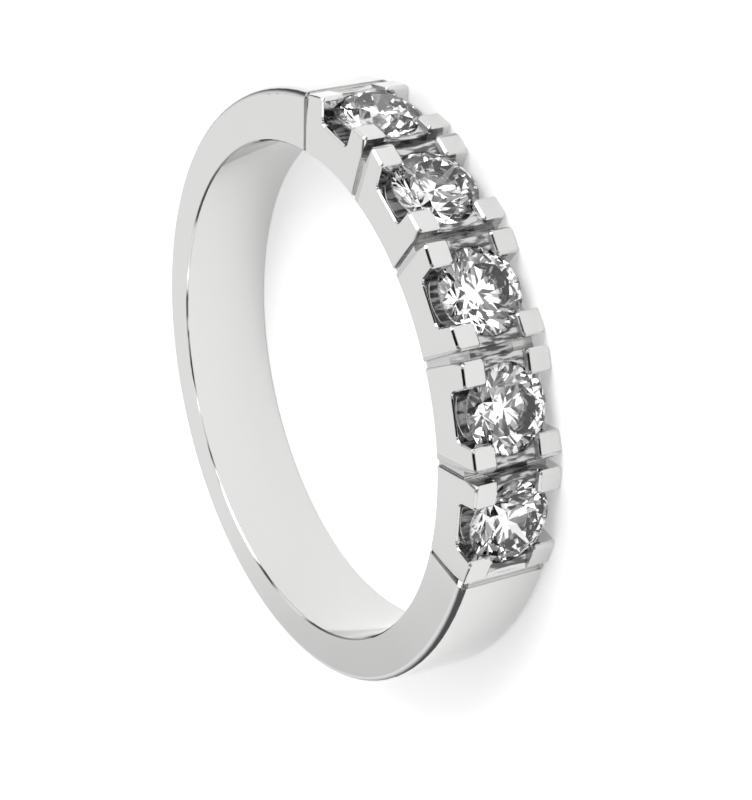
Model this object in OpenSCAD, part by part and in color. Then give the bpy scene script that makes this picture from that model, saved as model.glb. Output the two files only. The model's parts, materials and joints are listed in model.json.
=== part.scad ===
// Five-stone ring, lying on its side.
// The finger hole runs along Z and its axis is the origin. The lower side face is at z = 0.
// The stones are on the +X side, and stone_1 is the one furthest toward +Y.

/* [Band] */
// Diameter of the finger hole
finger_d = 17; // [16.5:0.25:18.5]
// Width of the ring along the finger hole
ring_w = 3.2; // [3.15:0.05:3.4]
// Thickness of the band at its back
back_t = 1.4; // [1.2:0.05:1.5]
// How far the outer circle's centre lies from the finger hole's axis, toward the stones
band_shift = 0.2; // [0.1:0.05:0.3]
// How much larger the shoulders' outer radius is, which thickens them toward the boxes
shoulder_flare = 1.6; // [1.4:0.1:1.6]
// Radius of the band's outer edges
band_edge_r = 0.3; // [0.15:0.05:0.35]
// Bevel round the mouths of the finger hole
mouth_bevel = 0.06; // [0.03:0.01:0.1]

/* [Boxes] */
// Angle from one box to the next
box_pitch = 20.6; // [20.4:0.1:21]
// Length of a box across its claw tops
box_l = 3.5; // [3.4:0.02:3.56]
// Height of the claw tops above the finger hole
claw_h = 2.1; // [2.05:0.05:2.2]
// Side of a square claw
claw_w = 0.84; // [0.8:0.01:0.88]
// Radius of a claw's outer corner
claw_corner_r = 0.2; // [0.1:0.02:0.26]
// Radius of a claw's other upright edges
claw_edge_r = 0.14; // [0.1:0.01:0.16]
// Bevel round a claw's top
claw_bevel = 0.07; // [0.03:0.01:0.08]
// Slot between two boxes at the finger hole
slot_w = 0.22; // [0.16:0.02:0.3]
// Depth of that slot in the side faces
slot_depth = 0.1; // [0.06:0.02:0.2]
// Height of the slot's floor above the finger hole
slot_floor_h = 1.45; // [1.3:0.05:1.5]

/* [Shoulders] */
// Angle from the middle of an end box to its outer end
end_angle = 10.4; // [10.2:0.1:10.6]
// Angle that the seam between an end box and the band takes up
seam_angle = 1; // [0.8:0.1:1.4]
// Depth of the seam
seam_depth = 0.1; // [0.06:0.02:0.12]
// Height of an end box above the finger hole at the seam
end_h = 2; // [1.96:0.01:2.02]
// Thickness of an outer claw before the outer end slopes down
outer_claw_t = 0.15; // [0.1:0.01:0.25]
// Radius of the sloping end's side edges
end_edge_r = 0.08; // [0.05:0.01:0.15]

/* [Notches] */
// Height of a side notch's floor above the finger hole
side_floor_h = 1.28; // [1.1:0.02:1.34]
// Half width of that floor between its round corners
side_floor_half = 0.58; // [0.5:0.02:0.64]
// Radius of those corners
side_corner_r = 0.22; // [0.15:0.01:0.26]
// Bevel round a side notch's edge
side_bevel = 0.05; // [0.03:0.01:0.06]
// Depth of the dip between two claws at the end of a box, at its middle
dip_depth = 0.34; // [0.2:0.02:0.36]
// How much higher the dip's floor is beside the claws
dip_rise = 0.1; // [0.06:0.02:0.16]
// Height of an outer dip's floor above the finger hole where the stone's edge is
outer_dip_h = 1.76; // [1.72:0.02:1.84]
// Height of an outer dip's floor above the finger hole at the seam
outer_foot_h = 1.9; // [1.86:0.01:1.94]
// How much higher an outer dip's floor is beside the claws
outer_dip_rise = 0.05; // [0.02:0.01:0.08]

/* [Stones] */
// Diameter of a stone
stone_d = 2.86; // [2.8:0.02:2.88]
// Height of a stone's girdle above the finger hole
girdle_h = 1.72; // [1.68:0.02:1.76]
// Thickness of the girdle at its thickest
girdle_t = 0.09; // [0.07:0.01:0.1]
// Width of the table as a share of the stone's diameter
table_share = 0.57; // [0.53:0.01:0.62]
// Angle of the crown's main facets
crown_angle = 34.5; // [33:0.5:36]
// Angle of the pavilion's main facets
pavilion_angle = 40.8; // [40:0.2:41.6]
// Gap between a stone and its seat
seat_gap = 0.02; // [0.015:0.005:0.03]
// Diameter of the light hole under a stone
light_hole_d = 1.9; // [1.5:0.1:2]

/* [Hidden] */
$fn = 96;

// Turn of each stone about its own axis, from stone_1 to stone_5
stone_turns = [10, 31, 4, 19, 38];
last_box = len(stone_turns) - 1;

// Radii from the finger hole's axis
finger_r = finger_d / 2;
claw_r = finger_r + claw_h;
slot_floor_r = finger_r + slot_floor_h;
end_r = finger_r + end_h;
girdle_r = finger_r + girdle_h;
band_r = finger_r + back_t + band_shift;
end_box_angle = last_box / 2 * box_pitch + end_angle;
band_angle = end_box_angle + seam_angle;

// Half sizes of a box, measured along X outwards, along Y round the ring, and along Z
mid_z = ring_w / 2;
half_l = box_l / 2;
foot_angle = box_pitch / 2 - asin(slot_w / 2 / finger_r);
foot = [finger_r * cos(foot_angle), finger_r * sin(foot_angle)];
flare = (half_l - foot.y) / (claw_r - foot.x);
bevel_x = claw_r - claw_bevel;
end_top_half = foot.y + flare * (bevel_x - foot.x);
root_depth = 0.6;
root_r = finger_r - root_depth;
side_top_half = half_l - claw_w;
dip_half = mid_z - claw_w;
slope_y = side_top_half + outer_claw_t;
end_foot = at_end(end_r);
side_floor_r = finger_r + side_floor_h;
side_corner_x = side_floor_r + side_corner_r;
side_corner_half = side_floor_half + side_corner_r;
notch_slope = (side_top_half - side_corner_half) / (bevel_x - side_corner_x);
clear = 1;

// Shape of a cut stone, as shares of its radius
stone_r = stone_d / 2;
mains = 8;
step = 360 / mains;
girdle_points = 64;
star_share = 0.5;
lower_half_share = 0.77;
table_r = table_share * stone_r;
crown_z = (stone_r - table_r) * tan(crown_angle);
table_edge_r = table_r * cos(step / 2);
star_r = table_edge_r + star_share * (stone_r - table_edge_r);
star_z = (stone_r - star_r * cos(step / 2)) * tan(crown_angle);
lower_r = (1 - lower_half_share) * stone_r;
lower_z = -(stone_r - lower_r * cos(step / 2)) * tan(pavilion_angle);
culet_z = -stone_r * tan(pavilion_angle);
half_cut_angle = 38;

function box_angle(i) = (last_box / 2 - i) * box_pitch;
function half_l_at(r) = foot.y + flare * (r - foot.x);
function notch_half_at(r) = side_corner_half + notch_slope * (r - side_corner_x);
function at_end(r) = [r * cos(end_angle), r * sin(end_angle)];

// A regular ring of points, the first at the given angle
function points_round(n, r, z, first) =
    [for (i = [0:n - 1]) [r * cos(first + 360 / n * i), r * sin(first + 360 / n * i), z]];

// Where the 16 facets beside the girdle meet it: each is a plane through two girdle points
// half a step apart and a tip further in, so its edge sinks between those two points
function scallop(i, tip_r, tip_z) =
    let (a = (360 / girdle_points * i) % (step / 2))
    tip_z * (cos(step / 4) - cos(a - step / 4)) / ((1 - tip_r / stone_r) * cos(step / 4));
function girdle_round(z, tip_r, tip_z) =
    [for (i = [0:girdle_points - 1])
        let (a = 360 / girdle_points * i)
        [stone_r * cos(a), stone_r * sin(a), z + scallop(i, tip_r, tip_z)]];

// The solid of the finger hole, with a bevelled mouth at each side face
module finger_hole() {
    rotate_extrude()
        polygon([
            [0, -clear], [finger_r + mouth_bevel + clear, -clear], [finger_r, mouth_bevel],
            [finger_r, ring_w - mouth_bevel], [finger_r + mouth_bevel + clear, ring_w + clear],
            [0, ring_w + clear]
        ]);
}

// The wedge of the ring between two angles, on both sides of +X
module wedge(angle) {
    far = 3 * finger_r;
    translate([0, 0, -clear])
        linear_extrude(ring_w + 2 * clear)
            polygon([
                [0, 0], [far * cos(angle), -far * sin(angle)], [far, -far * sin(angle)],
                [far, far * sin(angle)], [far * cos(angle), far * sin(angle)]
            ]);
}

// A disc as high as the ring is wide, with round edges, set back all over by the inset
module round_disc(r, inset) {
    x = r - inset;
    c = band_edge_r;
    rotate_extrude() {
        translate([0, inset])
            square([x - c, ring_w - 2 * inset]);
        translate([0, inset + c])
            square([x, ring_w - 2 * (inset + c)]);
        for (y = [inset + c, ring_w - inset - c])
            translate([x - c, y])
                circle(r = c);
    }
}

// The band's outer form. The back is one disc, and each shoulder is a larger one that
// touches it at the side of the ring.
module band_blank(inset = 0) {
    far = 3 * finger_r;
    translate([band_shift, 0, 0]) {
        intersection() {
            round_disc(band_r, inset);
            translate([-far, -far, -clear])
                cube([far, 2 * far, ring_w + 2 * clear]);
        }
        for (side = [0, 1])
            mirror([0, side, 0])
                intersection() {
                    translate([0, -shoulder_flare, 0])
                        round_disc(band_r + shoulder_flare, inset);
                    translate([0, 0, -clear])
                        cube([far, far, ring_w + 2 * clear]);
                }
    }
}

module band() {
    difference() {
        band_blank();
        wedge(band_angle);
    }
}

// The floors of the two seams between the band and the end boxes
module seam_floors() {
    difference() {
        intersection() {
            band_blank(seam_depth);
            wedge(band_angle + seam_angle / 2);
        }
        wedge(end_box_angle - seam_angle / 2);
    }
}

// The strip that joins the boxes to each other and to the band, just inside their faces
module core() {
    intersection() {
        translate([0, 0, slot_depth])
            cylinder(r = slot_floor_r, h = ring_w - 2 * slot_depth);
        wedge(band_angle + seam_angle);
    }
}

// Side view of a box between two others
module inner_outline() {
    polygon([
        [root_r, -half_l_at(root_r)], [bevel_x, -end_top_half],
        [claw_r, claw_bevel - end_top_half], [claw_r, end_top_half - claw_bevel],
        [bevel_x, end_top_half], [root_r, half_l_at(root_r)]
    ]);
}

// Side view of an end box, with its sloping outer end toward +Y
module end_outline() {
    polygon([
        [root_r, -half_l_at(root_r)], [bevel_x, -end_top_half],
        [claw_r, claw_bevel - end_top_half], [claw_r, slope_y],
        at_end(end_r) - [0, claw_bevel], at_end(end_r - claw_bevel), at_end(root_r)
    ]);
}

// The box seen from above its stone, with round corners, as a block along X
module top_block(y0, y1) {
    c = claw_corner_r;
    rotate([90, 0, 90])
        linear_extrude(claw_r + clear) {
            translate([y0, c])
                square([y1 - y0, ring_w - 2 * c]);
            translate([y0 + c, 0])
                square([y1 - y0 - 2 * c, ring_w]);
            for (y = [y0 + c, y1 - c])
                for (z = [c, ring_w - c])
                    translate([y, z])
                        circle(r = c);
        }
}

// What is left inside the bevels along the claw tops' side edges
module bevel_block() {
    low = bevel_x - clear;
    rotate([90, 0, 0])
        linear_extrude(2 * box_l, center = true)
            polygon([
                [0, -clear], [low, -clear], [claw_r, claw_bevel],
                [claw_r, ring_w - claw_bevel], [low, ring_w + clear], [0, ring_w + clear]
            ]);
}

// The notch that shows the stone from the side, right across the ring
module side_notch() {
    rise = claw_bevel + clear;
    translate([0, 0, -clear])
        linear_extrude(ring_w + 2 * clear) {
            translate([side_floor_r, -side_floor_half])
                square([claw_h, 2 * side_floor_half]);
            for (y = [-side_floor_half, side_floor_half])
                translate([side_corner_x, y])
                    circle(r = side_corner_r);
            polygon([
                [side_corner_x, -side_corner_half], [bevel_x, -side_top_half],
                [claw_r + clear, -side_top_half - rise], [claw_r + clear, side_top_half + rise],
                [bevel_x, side_top_half], [side_corner_x, side_corner_half]
            ]);
        }
}

// The bevel round half of a notch's edge in the lower side face: floor, corner and wall
module half_notch_bevel() {
    b = side_bevel;
    wall_x = bevel_x - side_corner_x;
    translate([0, side_floor_half, 0])
        rotate([90, 0, 0])
            linear_extrude(side_floor_half)
                polygon([
                    [side_floor_r - 2 * b, -b], [side_corner_x, -b], [side_corner_x, b], [side_floor_r, b]
                ]);
    translate([side_corner_x, side_floor_half, -b])
        cylinder(r1 = side_corner_r + 2 * b, r2 = side_corner_r, h = 2 * b);
    translate([side_corner_x, side_corner_half, 0])
        rotate([0, 0, atan(notch_slope)])
            rotate([90, 0, 90])
                linear_extrude(norm([1, notch_slope]) * wall_x + b)
                    polygon([[-side_corner_r, -b], [2 * b, -b], [0, b], [-side_corner_r, b]]);
}

// The bevels round both mouths of a notch
module notch_bevels() {
    for (top = [0, 1])
        translate([0, 0, top * ring_w])
            mirror([0, 0, top])
                for (side = [0, 1])
                    mirror([0, side, 0])
                        half_notch_bevel();
}

// The dip between two claws, as a bar along Y whose floor is lowest at x = 0
module dip_bar(length, rise) {
    dip_r = (dip_half * dip_half + rise * rise) / (2 * rise);
    rotate([-90, 0, 0])
        linear_extrude(length) {
            intersection() {
                translate([dip_r, -mid_z])
                    circle(r = dip_r, $fn = 4 * $fn);
                translate([0, -mid_z - dip_half])
                    square([2 * rise, 2 * dip_half]);
            }
            translate([rise, -mid_z - dip_half])
                square([claw_h, 2 * dip_half]);
        }
}

// A dip across flat claw tops, with its bevels
module flat_dip(length) {
    low = bevel_x;
    high = claw_r + clear;
    out = dip_half + claw_bevel + clear;
    translate([0, -box_l, 0]) {
        translate([claw_r - dip_depth, 0, 0])
            dip_bar(length, dip_rise);
        rotate([-90, 0, 0])
            linear_extrude(length)
                polygon([
                    [low, -mid_z - dip_half], [high, -mid_z - out],
                    [high, -mid_z + out], [low, -mid_z + dip_half]
                ]);
    }
}

// What is cut off a claw's upright edge to round it. The edge runs along X from the origin,
// and the claw is toward +Y and +Z.
module edge_cut() {
    r = claw_edge_r;
    rotate([90, 0, 90])
        linear_extrude(dip_depth + clear)
            difference() {
                translate([-r, -r])
                    square(2 * r);
                translate([r, r])
                    circle(r = r);
            }
}

// The cuts for the edges beside the dip: at the notch in each claw, and at the box's end
// in the claws on the sides named, where 1 is toward -Y
module claw_edges(end_sides) {
    x = claw_r - dip_depth + dip_rise;
    for (top = [0, 1])
        translate([x, 0, mid_z])
            mirror([0, 0, top])
                translate([0, 0, dip_half]) {
                    for (side = [0, 1])
                        mirror([0, side, 0])
                            translate([0, notch_half_at(x), 0])
                                rotate([0, 0, atan(notch_slope)])
                                    edge_cut();
                    for (side = end_sides)
                        mirror([0, side, 0])
                            translate([0, half_l_at(x), 0])
                                rotate([0, 0, atan(flare)])
                                    mirror([0, 1, 0])
                                        edge_cut();
                }
}

// What is cut off the bevels at one corner of a claw's top, so that a cone rounds it. The
// corner is at the origin, where the bevels start, and the claw is toward +Y and +Z.
module corner_cut(r) {
    difference() {
        translate([0, -r, -r])
            cube([r, 2 * r, 2 * r]);
        translate([0, r, r])
            rotate([0, 90, 0])
                cylinder(r1 = r, r2 = 0, h = r);
    }
}

// The cuts for all corners of the claws' tops, at the box's end only on the sides named
module claw_corners(end_sides) {
    for (top = [0, 1])
        translate([bevel_x, 0, mid_z])
            mirror([0, 0, top]) {
                for (side = [0, 1])
                    mirror([0, side, 0])
                        translate([0, side_top_half, 0]) {
                            translate([0, 0, dip_half])
                                corner_cut(claw_edge_r);
                            translate([0, 0, mid_z])
                                mirror([0, 0, 1])
                                    corner_cut(claw_edge_r);
                        }
                for (side = end_sides)
                    mirror([0, side, 0]) {
                        translate([0, end_top_half, dip_half])
                            mirror([0, 1, 0])
                                corner_cut(claw_edge_r);
                        translate([0, half_l, mid_z])
                            mirror([0, 1, 0])
                                mirror([0, 0, 1])
                                    corner_cut(claw_corner_r);
                    }
            }
}

// The dip in the sloping end of an end box
module outer_dip() {
    start = [finger_r + outer_dip_h, stone_r];
    end = at_end(finger_r + outer_foot_h);
    translate([start.x, start.y, 0])
        rotate([0, 0, atan((start.x - end.x) / (end.y - start.y))])
            translate([0, -stone_r / 2, 0])
                dip_bar(box_l, outer_dip_rise);
}

// What is left inside the round side edges of an end box's sloping end
module slope_block() {
    c = end_edge_r;
    translate([claw_r, slope_y, 0])
        rotate([0, 0, atan((claw_r - end_foot.x) / (end_foot.y - slope_y))])
            rotate([90, 0, 0])
                linear_extrude(2 * claw_r, center = true) {
                    translate([-claw_r, 0])
                        square([claw_r - c, ring_w]);
                    translate([-claw_r, c])
                        square([claw_r, ring_w - 2 * c]);
                    for (z = [c, ring_w - c])
                        translate([-c, z])
                            circle(r = c);
                }
}

module inner_box() {
    difference() {
        intersection() {
            top_block(-half_l, half_l);
            bevel_block();
            translate([0, 0, -clear])
                linear_extrude(ring_w + 2 * clear)
                    inner_outline();
        }
        flat_dip(2 * box_l);
        claw_edges([0, 1]);
        claw_corners([0, 1]);
    }
}

module end_box() {
    difference() {
        intersection() {
            top_block(-half_l, end_foot.y);
            bevel_block();
            slope_block();
            translate([0, 0, -clear])
                linear_extrude(ring_w + 2 * clear)
                    end_outline();
        }
        flat_dip(box_l);
        outer_dip();
        claw_edges([1]);
        claw_corners([1]);
    }
}

// The hollow for a stone, sloping as the stone's pavilion does down to the light hole, along X
module seat() {
    wall_r = stone_r + seat_gap;
    low_x = girdle_r - girdle_t / 2 - 2 * seat_gap;
    top_x = girdle_r + girdle_t / 2 + seat_gap;
    mouth_r = stone_r / 2;
    mouth_x = top_x + (wall_r - mouth_r) * tan(half_cut_angle);
    hole_r = light_hole_d / 2;
    hole_x = low_x - (wall_r - hole_r) * tan(pavilion_angle);
    rotate([0, 90, 0])
        rotate_extrude()
            polygon([
                [0, root_r], [hole_r, root_r], [hole_r, hole_x], [wall_r, low_x],
                [wall_r, top_x], [mouth_r, mouth_x], [mouth_r, claw_r + clear], [0, claw_r + clear]
            ]);
}

module ring_body() {
    color("gainsboro")
        difference() {
            union() {
                band();
                seam_floors();
                core();
                for (i = [1:last_box - 1])
                    rotate([0, 0, box_angle(i)])
                        inner_box();
                rotate([0, 0, box_angle(0)])
                    end_box();
                rotate([0, 0, box_angle(last_box)])
                    mirror([0, 1, 0])
                        end_box();
            }
            finger_hole();
            for (i = [0:last_box])
                rotate([0, 0, box_angle(i)]) {
                    side_notch();
                    notch_bevels();
                    translate([0, 0, mid_z])
                        seat();
                }
        }
}

// A round brilliant with its girdle's middle at the origin and its table toward +Z.
// Points are numbered in rings: table, star tips, girdle top, girdle bottom, lower tips, culet.
module brilliant() {
    girdle_top = girdle_round(girdle_t / 2, star_r, star_z);
    girdle_bottom = girdle_round(-girdle_t / 2, lower_r, lower_z);
    star = mains;
    top = star + mains;
    bottom = top + girdle_points;
    lower = bottom + girdle_points;
    culet = lower + mains;
    main_run = girdle_points / mains;
    half_run = main_run / 2;
    polyhedron(
        points = concat(
            points_round(mains, table_r, girdle_t / 2 + crown_z, 0),
            points_round(mains, star_r, girdle_t / 2 + star_z, step / 2),
            girdle_top,
            girdle_bottom,
            points_round(mains, lower_r, lower_z - girdle_t / 2, step / 2),
            [[0, 0, culet_z - girdle_t / 2]]
        ),
        faces = concat(
            [[for (k = [mains - 1:-1:0]) k]],
            [for (k = [0:mains - 1]) [k, (k + 1) % mains, star + k]],
            [for (k = [0:mains - 1])
                [k, star + k, top + k * main_run, star + (k + mains - 1) % mains]],
            [for (k = [0:mains - 1]) for (h = [0, 1])
                concat([star + k], [for (j = [half_run:-1:0])
                    top + (k * main_run + h * half_run + j) % girdle_points])],
            [for (j = [0:girdle_points - 1]) let (n = (j + 1) % girdle_points)
                [top + j, top + n, bottom + n, bottom + j]],
            [for (k = [0:mains - 1]) for (h = [0, 1])
                concat([lower + k], [for (j = [0:half_run])
                    bottom + (k * main_run + h * half_run + j) % girdle_points])],
            [for (k = [0:mains - 1])
                [culet, lower + (k + mains - 1) % mains, bottom + k * main_run, lower + k]]
        ),
        convexity = 2
    );
}

module stone(i) {
    color("aliceblue")
        rotate([0, 0, box_angle(i)])
            translate([girdle_r, 0, mid_z])
                rotate([0, 90, 0])
                    rotate([0, 0, stone_turns[i]])
                        brilliant();
}

ring_body();
stone(0);  // stone_1
stone(1);  // stone_2
stone(2);  // stone_3
stone(3);  // stone_4
stone(4);  // stone_5
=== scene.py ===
"""Five-stone ring of polished white gold, lying on its side under soft studio light.

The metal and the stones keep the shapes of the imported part. This script gives each its
finish, and sets the floor, the light and the camera. Everything is in the part's own
frame: the finger hole runs along Z and the middle stone faces +X. A size is in
millimetres where its name ends in _mm and in metres where it ends in _m.
"""

import json
import logging
import math
from dataclasses import dataclass
from enum import Enum

import bpy
from mathutils import Matrix, Vector


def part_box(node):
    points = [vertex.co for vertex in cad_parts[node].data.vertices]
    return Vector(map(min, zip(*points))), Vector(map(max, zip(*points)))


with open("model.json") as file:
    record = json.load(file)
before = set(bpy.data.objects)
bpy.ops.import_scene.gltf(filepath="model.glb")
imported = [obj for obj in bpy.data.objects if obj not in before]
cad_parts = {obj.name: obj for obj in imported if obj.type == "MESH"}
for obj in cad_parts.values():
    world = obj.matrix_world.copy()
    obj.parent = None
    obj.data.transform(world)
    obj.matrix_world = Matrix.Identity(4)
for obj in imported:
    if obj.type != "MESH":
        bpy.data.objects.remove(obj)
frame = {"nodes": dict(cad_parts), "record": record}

LOG = logging.getLogger("ring")
MM = 0.001
METAL_NODE = "ring_body"
STONE_PREFIX = "stone_"
FINGER_MOUNT = "finger_bore"
WHITE = (1, 1, 1, 1)


class NodeKind(Enum):
    """The kinds of shader node that the finishes and the studio use, by Blender's own names."""

    MATH = "ShaderNodeMath"
    VECTOR_MATH = "ShaderNodeVectorMath"
    MIX = "ShaderNodeMix"
    NOISE = "ShaderNodeTexNoise"
    VORONOI = "ShaderNodeTexVoronoi"
    MAPPING = "ShaderNodeMapping"
    COORDINATES = "ShaderNodeTexCoord"
    BUMP = "ShaderNodeBump"
    BEVEL = "ShaderNodeBevel"
    GEOMETRY = "ShaderNodeNewGeometry"
    MAP_RANGE = "ShaderNodeMapRange"
    SEPARATE = "ShaderNodeSeparateXYZ"
    PRINCIPLED = "ShaderNodeBsdfPrincipled"
    BACKGROUND = "ShaderNodeBackground"


class Finish(Enum):
    """The record's material slots."""

    WHITE_GOLD = "white_gold"
    DIAMOND = "diamond"


class Wire:
    """A shader socket that takes part in arithmetic, each operation adding one node."""

    def __init__(self, graph: "Graph", socket: bpy.types.NodeSocket) -> None:
        """Keep an output socket and the graph that it belongs to."""
        self.graph = graph
        self.socket = socket

    def _math(self, operation: str, *values: "Wire | float") -> "Wire":
        """Return the result of a new Math node on the values."""
        return self.graph.add(NodeKind.MATH, {"operation": operation}, dict(enumerate(values)))

    def __add__(self, other: "Wire | float") -> "Wire":
        """Return self + other."""
        return self._math("ADD", self, other)

    def __radd__(self, other: "Wire | float") -> "Wire":
        """Return other + self."""
        return self._math("ADD", other, self)

    def __sub__(self, other: "Wire | float") -> "Wire":
        """Return self - other."""
        return self._math("SUBTRACT", self, other)

    def __rsub__(self, other: "Wire | float") -> "Wire":
        """Return other - self."""
        return self._math("SUBTRACT", other, self)

    def __mul__(self, other: "Wire | float") -> "Wire":
        """Return self * other."""
        return self._math("MULTIPLY", self, other)

    def __rmul__(self, other: "Wire | float") -> "Wire":
        """Return other * self."""
        return self._math("MULTIPLY", other, self)

    def __truediv__(self, other: "Wire | float") -> "Wire":
        """Return self / other."""
        return self._math("DIVIDE", self, other)

    def __abs__(self) -> "Wire":
        """Return the size of self without its sign."""
        return self._math("ABSOLUTE", self)

    def fraction(self) -> "Wire":
        """Return how far self is above the whole number below it."""
        return self._math("FRACT", self)

    def root(self) -> "Wire":
        """Return the square root of self."""
        return self._math("SQRT", self)

    def angle_to(self, x: "Wire") -> "Wire":
        """Return the angle in radians of the point (x, self)."""
        return self._math("ARCTAN2", self, x)

    def sine(self) -> "Wire":
        """Return the sine of self in radians."""
        return self._math("SINE", self)

    def cosine(self) -> "Wire":
        """Return the cosine of self in radians."""
        return self._math("COSINE", self)

    def or_more(self, other: "Wire | float") -> "Wire":
        """Return the larger of self and other."""
        return self._math("MAXIMUM", self, other)

    def ramp(self, none: float, full: float) -> "Wire":
        """Return a smooth rise from 0 where self is none to 1 where it is full, either way round."""
        values = {"Value": self, "From Min": none, "From Max": full}
        return self.graph.add(NodeKind.MAP_RANGE, {"interpolation_type": "SMOOTHSTEP"}, values)


class Graph:
    """The node graph of a material or a world."""

    def __init__(self, tree: bpy.types.NodeTree) -> None:
        """Empty the tree except for its output.

        Args:
            tree: The node tree of a material or world.
        """
        self.tree = tree
        for node in [n for n in tree.nodes if not n.type.startswith("OUTPUT")]:
            tree.nodes.remove(node)
        self.output = tree.nodes[0]

    def feed(self, socket: bpy.types.NodeSocket, value: "Wire | float | tuple") -> None:
        """Give an input socket its link or its own value.

        Args:
            socket: The input socket.
            value: A wire to link, or a number or colour to set.
        """
        if isinstance(value, Wire):
            self.tree.links.new(value.socket, socket)
        else:
            socket.default_value = value

    def node(self, kind: NodeKind, settings: dict, values: dict) -> bpy.types.Node:
        """Add one node.

        Args:
            kind: What node to add.
            settings: The node's own settings, set before its sockets.
            values: Numbers, colours or wires, by the name or number of the input socket.

        Returns:
            The node.
        """
        made = self.tree.nodes.new(kind.value)
        for name, value in settings.items():
            setattr(made, name, value)
        for name, value in values.items():
            self.feed(made.inputs[name], value)
        return made

    def add(self, kind: NodeKind, settings: dict, values: dict, out: "str | int" = 0) -> Wire:
        """Add one node and return the output with that name or number."""
        return Wire(self, self.node(kind, settings, values).outputs[out])

    def place(self) -> Wire:
        """Return the point on the surface, in millimetres in the part's frame."""
        point = self.add(NodeKind.COORDINATES, {}, {}, "Object")
        return self.add(NodeKind.VECTOR_MATH, {"operation": "SCALE"}, {0: point, "Scale": 1 / MM})

    def parts(self, point: Wire) -> tuple[Wire, Wire, Wire]:
        """Return the X, Y and Z of a point."""
        outputs = self.node(NodeKind.SEPARATE, {}, {"Vector": point}).outputs
        return Wire(self, outputs["X"]), Wire(self, outputs["Y"]), Wire(self, outputs["Z"])

    def dot(self, first: Wire, second: "Wire | tuple") -> Wire:
        """Return the dot product of two vectors, which measures one along the other."""
        return self.add(NodeKind.VECTOR_MATH, {"operation": "DOT_PRODUCT"}, {0: first, 1: second}, "Value")

    def stretched(self, point: Wire, share: float) -> Wire:
        """Return the point with its Z cut to a share, so that a pattern there is drawn out along Z."""
        return self.add(NodeKind.MAPPING, {}, {"Vector": point, "Scale": (1, 1, share)})

    def noise(self, point: Wire, size_mm: float, detail: float = 2.0) -> Wire:
        """Return cloudy noise about 0.5, with patches of that size and that many finer layers."""
        return self.add(NodeKind.NOISE, {}, {"Vector": point, "Scale": 1 / size_mm, "Detail": detail})

    def mix(self, share: Wire, first: "Wire | tuple", second: "Wire | tuple") -> Wire:
        """Blend two colours.

        Args:
            share: 0 for the first colour and 1 for the second.
            first: A colour or wire.
            second: A colour or wire.

        Returns:
            The blended colour.
        """
        node = self.node(NodeKind.MIX, {"data_type": "RGBA"}, {})
        inputs = {socket.identifier: socket for socket in node.inputs}
        for name, value in (("Factor_Float", share), ("A_Color", first), ("B_Color", second)):
            self.feed(inputs[name], value)
        return Wire(self, next(s for s in node.outputs if s.identifier == "Result_Color"))

    def end(self, shader: bpy.types.Node) -> None:
        """Connect the last shader to the output."""
        self.tree.links.new(shader.outputs[0], self.output.inputs["Surface"])


def new_material(name: str) -> tuple[bpy.types.Material, Graph]:
    """Make a material with an empty graph.

    Args:
        name: The material's name.

    Returns:
        The material and its graph.
    """
    material = bpy.data.materials.new(name)
    material.use_nodes = True
    return material, Graph(material.node_tree)


def dress(piece: bpy.types.Object, material: bpy.types.Material) -> None:
    """Give a piece one material.

    Args:
        piece: The piece.
        material: Its material.
    """
    piece.data.materials.clear()
    piece.data.materials.append(material)


def stone_names() -> list[str]:
    """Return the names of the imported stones, in their order along the row."""
    return sorted(n for n in frame["nodes"] if n.startswith(STONE_PREFIX))


@dataclass(frozen=True)
class Row:
    """Where the row of boxes lies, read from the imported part, in millimetres and radians."""

    finger: float
    claw_top: float
    width: float
    stone: float
    pitch: float
    boxes: int

    @classmethod
    def read(cls) -> "Row":
        """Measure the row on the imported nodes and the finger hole's mount.

        Returns:
            The row, with the radius of the finger hole, the height of the claw tops from its
            axis, the ring's width, a stone's radius, and the boxes' angle apart and number.
        """
        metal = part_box(METAL_NODE)
        bore = next(m for m in frame["record"]["mounts"] if m["name"] == FINGER_MOUNT)
        stones = [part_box(name) for name in stone_names()]
        angles = [math.atan2(low.y + high.y, low.x + high.x) for low, high in stones]
        low, high = stones[0]
        return cls(
            finger=bore["dims"]["r_mm"],
            claw_top=metal[1].x / MM,
            width=metal[1].z / MM,
            stone=(high.z - low.z) / 2 / MM,
            pitch=angles[0] - angles[1],
            boxes=len(stones),
        )


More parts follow.
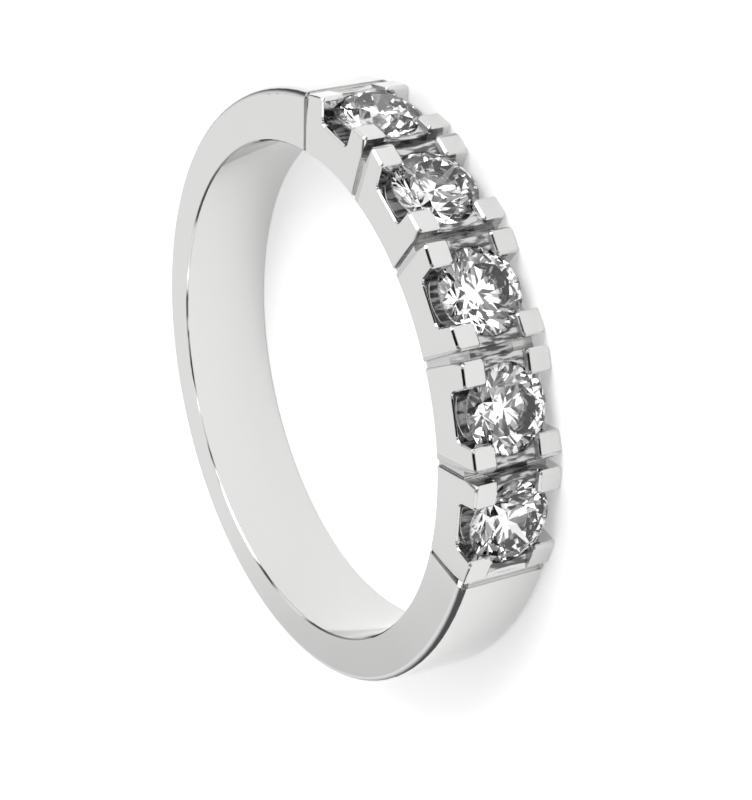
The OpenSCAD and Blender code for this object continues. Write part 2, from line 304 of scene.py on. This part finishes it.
@dataclass(frozen=True)
class PolishedGold:
    """White gold with a bright polish that the wheel can't give to the recesses.

    The gaps between the boxes, the channel between the claws and the seats stay streaky and
    rougher, darkened by painted shade with streaks of painted reflection, less dark on the faces
    that look to the ring's sides. The polish is a little wavy, with fine wheel marks and softly
    worn edges, whose lighter colour is a painted highlight.
    A pair of numbers is where a ramp is at 0 and where it is at 1.
    """

    row: Row

    # The polish
    colour: tuple = (0.64, 0.64, 0.635, 1)
    polish: float = 0.05
    haze: float = 0.04
    haze_mm: float = 1.4
    haze_cloud: tuple = (0.35, 0.7)
    wave_mm: float = 3.0
    wave_depth_mm: float = 0.012
    mark_mm: float = 0.03
    mark_depth_mm: float = 0.00015
    mark_stretch: float = 0.1

    # The worn edges, where the shading is rounded, rougher and lighter in colour as a painted highlight
    edge_highlight_colour: tuple = (0.72, 0.72, 0.715, 1)
    worn_roughness: float = 0.06
    edge_facing: tuple = (0.995, 0.9)
    edge_cloud: tuple = (0.3, 0.6)
    edge_mm: float = 0.035
    edge_samples: int = 4

    # The painted shade in the recesses, with streaks of painted reflection, and how bright the faces are
    # that look to the ring's sides
    recess_shade_colour: tuple = (0.1, 0.1, 0.1, 1)
    recess_reflection_colour: tuple = (0.6, 0.6, 0.595, 1)
    recess_roughness: float = 0.1
    dull_skin: float = 0.4
    streak_mm: float = 0.15
    streak_depth_mm: float = 0.02
    streak_stretch: float = 0.22
    streak_detail: float = 4.0
    streak_edge: tuple = (0.42, 0.58)
    side_facing: tuple = (0.6, 0.9)
    side_share: float = 0.7

    # Where the recesses are, with gap_fade as a share of the pitch and row_end_soft in radians
    gap_half_mm: float = 0.2
    gap_share: float = 0.5
    gap_fade: float = 0.1
    claw_side_mm: float = 0.84
    margin_mm: float = 0.01
    soft_mm: float = 0.02
    seat_margin_mm: float = 0.05
    skin_mm: tuple = (0.03, 0.1)
    row_end_soft: float = 0.002

    def gaps(self, angle: Wire, radius: Wire) -> Wire:
        """Mark the gaps between the boxes.

        A point's angle round the finger hole, divided by the pitch, is whole at the middle
        of a box and halfway between whole numbers in a gap.

        Args:
            angle: The point's angle round the finger hole, in radians.
            radius: Its distance from the finger hole's axis, in millimetres.

        Returns:
            The gaps' share of a recess in them, and 0 elsewhere.
        """
        row = self.row
        from_gap = abs((angle / row.pitch).fraction() - 0.5) * row.pitch * radius
        gap = from_gap.ramp(self.gap_half_mm + self.soft_mm, self.gap_half_mm)
        last_box = (row.boxes - 1) / 2 * row.pitch
        between = abs(angle).ramp(last_box, last_box - self.gap_fade * row.pitch)
        return gap * between * self.gap_share

    def hollows(self, angle: Wire, radius: Wire, z: Wire) -> Wire:
        """Mark the channel between the claws and the round seats of the stones.

        The point's angle from the middle of the nearest box and its radius give its height
        up that box and its distance along the row.

        Args:
            angle: The point's angle round the finger hole, in radians.
            radius: Its distance from the finger hole's axis, in millimetres.
            z: Its height above the floor, in millimetres.

        Returns:
            1 in the channel and the seats, and 0 elsewhere.
        """
        row = self.row
        turned = ((angle / row.pitch + 0.5).fraction() - 0.5) * row.pitch
        height = radius * turned.cosine()
        along = radius * turned.sine()
        across = abs(z - row.width / 2)
        channel_half = row.width / 2 - self.claw_side_mm + self.margin_mm
        channel = across.ramp(channel_half + self.soft_mm, channel_half)
        seat_radius = row.stone + self.seat_margin_mm
        from_middle = (across * across + along * along).root()
        seat = from_middle.ramp(seat_radius + self.seat_margin_mm, seat_radius)
        polished, hidden = self.skin_mm
        low = height.ramp(row.claw_top - polished, row.claw_top - hidden)
        end = row.boxes / 2 * row.pitch
        inside = abs(angle).ramp(end + self.row_end_soft, end - self.row_end_soft)
        return channel.or_more(seat) * low * inside

    def recess(self, graph: Graph, place: Wire) -> Wire:
        """Mark the recesses that the wheel can't reach, which are rougher and carry painted shade.

        Args:
            graph: The material's graph.
            place: The point on the surface, in millimetres.

        Returns:
            Up to 1 in the recesses, and 0 on the polished faces and in the finger hole.
        """
        x, y, z = graph.parts(place)
        radius = (x * x + y * y).root()
        angle = y.angle_to(x)
        polished, hidden = self.skin_mm
        outside = radius.ramp(self.row.finger + polished, self.row.finger + hidden)
        return self.gaps(angle, radius).or_more(self.hollows(angle, radius, z)) * outside

    def material(self) -> bpy.types.Material:
        """Build the material.

        Returns:
            The material, whose patterns are fixed to the part's frame.
        """
        made, graph = new_material("polished_white_gold")
        place = graph.place()
        recess = self.recess(graph, place)
        cloud = graph.noise(place, self.haze_mm)
        round_edge = graph.add(NodeKind.BEVEL, {"samples": self.edge_samples}, {"Radius": self.edge_mm * MM})
        flat = graph.add(NodeKind.GEOMETRY, {}, {}, "Normal")
        # The worn edges: rougher, and lighter in colour as a painted highlight
        edge = graph.dot(round_edge, flat).ramp(*self.edge_facing)
        worn_edge_and_highlight = edge * cloud.ramp(*self.edge_cloud) * (1 - recess)
        marks = graph.noise(graph.stretched(place, self.mark_stretch), self.mark_mm)
        waves = graph.noise(place, self.wave_mm, detail=0.0)
        side = abs(graph.parts(flat)[2]).ramp(*self.side_facing)
        drawn = graph.stretched(place, self.streak_stretch)
        streaks = graph.noise(drawn, self.streak_mm, self.streak_detail)
        height = (
            marks * self.mark_depth_mm + waves * self.wave_depth_mm
            + recess * (1 - side) * streaks * self.streak_depth_mm
        )
        # Lighter colour along the worn edges is a painted highlight
        clean = graph.mix(worn_edge_and_highlight, self.colour, self.edge_highlight_colour)
        # Painted shade in the recesses, with streaks of painted reflection, less dark on faces to the sides
        bright = streaks.ramp(*self.streak_edge) * (1 - side) + side * self.side_share
        painted_recess_shade = graph.mix(bright, self.recess_shade_colour, self.recess_reflection_colour)
        bump = {"Height": height, "Distance": MM, "Normal": round_edge}
        graph.end(graph.node(NodeKind.PRINCIPLED, {}, {
            "Base Color": graph.mix(recess, clean, painted_recess_shade),
            "Metallic": 1 - recess * self.dull_skin,
            "Roughness": (
                self.polish + self.haze * cloud.ramp(*self.haze_cloud)
                + self.worn_roughness * worn_edge_and_highlight + recess * self.recess_roughness
            ),
            "Normal": graph.add(NodeKind.BUMP, {}, bump),
        }))
        return made


@dataclass(frozen=True)
class CutDiamond:
    """A clear cut stone with polished facets, and a ground girdle with a darker rim of painted shade round
    it.
    """

    axis: Vector
    girdle_mm: float
    colour: tuple = (0.985, 0.99, 0.995, 1)
    glare: tuple = (0.45, 0.45, 0.45, 1)
    ior: float = 2.42
    girdle_shade_colour: tuple = (0.35, 0.35, 0.35, 1)
    girdle_shade_half_mm: float = 0.17
    girdle_half_mm: float = 0.06
    ground_half_mm: float = 0.048
    girdle_roughness: float = 0.35
    grind_mm: float = 0.05

    def material(self, name: str) -> bpy.types.Material:
        """Build the material of one stone.

        Args:
            name: The stone's node name.

        Returns:
            The material, whose girdle lies across the stone's axis.
        """
        made, graph = new_material(f"{name}_cut")
        place = graph.place()
        from_girdle = abs(graph.dot(place, tuple(self.axis)) - self.girdle_mm)
        ground = from_girdle.ramp(self.girdle_half_mm, self.ground_half_mm)
        # A darker rim of painted shade round the girdle
        rim = from_girdle.ramp(self.girdle_shade_half_mm, self.girdle_half_mm)
        grain = graph.noise(place, self.grind_mm)
        graph.end(graph.node(NodeKind.PRINCIPLED, {}, {
            "Base Color": graph.mix(rim, self.colour, self.girdle_shade_colour),
            "Roughness": ground * (self.girdle_roughness * grain),
            "IOR": self.ior,
            "Specular Tint": self.glare,
            "Transmission Weight": 1.0,
        }))
        return made


@dataclass
class Metalwork:
    """The band, the five boxes and their claws, which are one piece of metal."""

    node: str = METAL_NODE

    def build(self) -> list[str]:
        """Dress the metal.

        Returns:
            The names of the pieces.
        """
        piece = frame["nodes"][self.node]
        dress(piece, PolishedGold(Row.read()).material())
        return [piece.name]


@dataclass
class StoneRow:
    """The five brilliants, each in its box.

    The girdle_share is how far up a stone its girdle lies, from its point to its table.
    """

    girdle_share: float = 0.732

    def girdle_mm(self, middle_stone: str) -> float:
        """Work out how far the girdles are from the finger hole's axis.

        Args:
            middle_stone: The stone that faces +X, whose box runs from its point to its table.

        Returns:
            The distance, which is the same for every stone.
        """
        point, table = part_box(middle_stone)
        height = table.x - point.x
        return (point.x + self.girdle_share * height) / MM

    def build(self) -> list[str]:
        """Dress each stone, whose axis runs from the finger hole's axis through its middle.

        Returns:
            The names of the pieces.
        """
        names = stone_names()
        girdle_mm = self.girdle_mm(names[len(names) // 2])
        for name in names:
            low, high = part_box(name)
            axis = Vector((low.x + high.x, low.y + high.y, 0)).normalized()
            dress(frame["nodes"][name], CutDiamond(axis, girdle_mm).material(name))
        return names


@dataclass
class Floor:
    """A plain pale light table, just below the side face that the ring lies on."""

    half_m: float = 1.5
    gap_m: float = 0.000005
    colour: tuple = (0.9, 0.9, 0.9, 1)
    glow: float = 0.33
    roughness: float = 0.9
    shine: float = 0.1

    def build(self) -> None:
        """Make the floor."""
        h, z = self.half_m, -self.gap_m
        mesh = bpy.data.meshes.new("floor")
        mesh.from_pydata([(-h, -h, z), (h, -h, z), (h, h, z), (-h, h, z)], [], [(0, 1, 2, 3)])
        floor = bpy.data.objects.new("floor", mesh)
        bpy.context.scene.collection.objects.link(floor)
        made, graph = new_material("floor_paper")
        graph.end(graph.node(NodeKind.PRINCIPLED, {}, {
            "Base Color": self.colour,
            "Roughness": self.roughness,
            "Specular IOR Level": self.shine,
            "Emission Color": WHITE,
            "Emission Strength": self.glow,
        }))
        mesh.materials.append(made)


def direction(azimuth: float, elevation: float) -> Vector:
    """Return the unit vector at degrees round from +X towards +Y and degrees above the floor."""
    a, e = math.radians(azimuth), math.radians(elevation)
    return Vector((math.cos(a) * math.cos(e), math.sin(a) * math.cos(e), math.sin(e)))


@dataclass(frozen=True)
class Lamps:
    """Many small round lamps of unlike brightness, and the dimmer panels that they hang on."""

    per_radian: float = 8.0
    lamp_edge: tuple = (0.44, 0.38)
    lamp_tone: tuple = (0.1, 0.8)
    panel_tone: tuple = (0.3, 0.75)
    panel_share: float = 0.16

    def share(self, graph: Graph, seen: Wire) -> Wire:
        """Mark the lamps and their panels.

        Args:
            graph: The world's graph.
            seen: The direction looked at.

        Returns:
            The brightness, up to 1 in a lamp and up to the panels' share beside it.
        """
        cell = graph.node(NodeKind.VORONOI, {}, {"Vector": seen, "Scale": self.per_radian})
        tone = Wire(graph, cell.outputs["Color"])
        lit = Wire(graph, cell.outputs["Distance"]).ramp(*self.lamp_edge) * tone.ramp(*self.lamp_tone)
        return self.panel_share * tone.ramp(*self.panel_tone) + (1 - self.panel_share) * lit


@dataclass(frozen=True)
class Patch:
    """A round patch of the studio's walls, seen from the ring, with its angles in degrees.

    It fades out over its edge. Where it has lamps, its level is that of the brightest lamp.
    """

    azimuth: float
    elevation: float
    radius: float
    edge: float
    level: float
    lamps: Lamps | None = None

    def share(self, graph: Graph, seen: Wire) -> Wire:
        """Mark the patch.

        Args:
            graph: The world's graph.
            seen: The direction looked at.

        Returns:
            1 inside the patch, or its lamps' brightness there, and 0 outside.
        """
        from_middle = graph.dot(seen, tuple(direction(self.azimuth, self.elevation)))
        outer = math.cos(math.radians(self.radius + self.edge))
        share = from_middle.ramp(outer, math.cos(math.radians(self.radius)))
        if self.lamps:
            share = share * self.lamps.share(graph, seen)
        return share


@dataclass(frozen=True)
class Card(Patch):
    """A small dark card, which gives the stones some dark facets."""

    radius: float = 4.0
    edge: float = 2.0
    level: float = 0.01


@dataclass
class Studio:
    """Dim walls and the patches on them.

    There is a pale backdrop with a shade in its middle, a light overhead, a fill at each
    end of the row, a wide field of sparkling lamps, a key light and four dark cards. Each
    covers those before it.
    """

    wall: float = 0.12
    backdrop: Patch = Patch(azimuth=172, elevation=30, radius=18, edge=28, level=1.08)
    shade: Patch = Patch(azimuth=181, elevation=25, radius=2, edge=6, level=0.8)
    overhead: Patch = Patch(azimuth=0, elevation=88, radius=18, edge=12, level=1.2)
    fills: tuple[Patch, ...] = (
        Patch(azimuth=-100, elevation=40, radius=12, edge=5, level=1.2),
        Patch(azimuth=100, elevation=25, radius=12, edge=5, level=1.2),
    )
    sparkle: Patch = Patch(azimuth=-8, elevation=38, radius=58, edge=8, level=2.2, lamps=Lamps())
    key: Patch = Patch(azimuth=54, elevation=42, radius=15, edge=8, level=4.8)
    cards: tuple[Card, ...] = (Card(10, 28), Card(-32, 28), Card(17, 60), Card(-40, 60, radius=5.0))

    def build(self) -> None:
        """Make the world."""
        world = bpy.data.worlds.new("studio")
        bpy.context.scene.world = world
        world.use_nodes = True
        graph = Graph(world.node_tree)
        seen = graph.add(NodeKind.COORDINATES, {}, {}, "Generated")
        level = self.wall
        lights = (self.backdrop, self.shade, self.overhead, *self.fills, self.sparkle, self.key)
        for patch in (*lights, *self.cards):
            share = patch.share(graph, seen)
            level = level * (1 - share) + share * patch.level
        graph.end(graph.node(NodeKind.BACKGROUND, {}, {"Color": WHITE, "Strength": level}))


@dataclass
class Camera:
    """The camera, at the photograph's angle to the ring and above the floor."""

    aim_mm: tuple = (0.31, -0.87, 0.75)
    azimuth: float = -9.63
    elevation: float = 28.31
    roll: float = -102.86
    distance_mm: float = 85.65
    lens_mm: float = 113.74
    sensor_mm: float = 36.0
    near_m: float = 0.001

    def build(self) -> None:
        """Make the camera and let the scene use it."""
        data = bpy.data.cameras.new("camera")
        data.lens = self.lens_mm
        data.sensor_width = self.sensor_mm
        data.clip_start = self.near_m
        camera = bpy.data.objects.new("camera", data)
        bpy.context.scene.collection.objects.link(camera)
        back = direction(self.azimuth, self.elevation)
        level = Vector((0, 0, 1)).cross(back).normalized()
        upright = Matrix((level, back.cross(level), back)).transposed().to_4x4()
        turned = upright @ Matrix.Rotation(math.radians(self.roll), 4, "Z")
        place = Vector(self.aim_mm) * MM + back * self.distance_mm * MM
        camera.matrix_world = Matrix.Translation(place) @ turned
        bpy.context.scene.camera = camera


def main() -> None:
    """Build every sub-assembly in order and report each piece."""
    logging.basicConfig(level=logging.INFO, format="%(name)s: %(message)s")
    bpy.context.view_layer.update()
    for assembly in (Metalwork(), StoneRow()):
        for name in assembly.build():
            LOG.info("%s: %s", type(assembly).__name__, name)
    Floor().build()
    Studio().build()
    Camera().build()
    bpy.context.scene.view_settings.view_transform = "Standard"


if __name__ == "__main__":
    main()
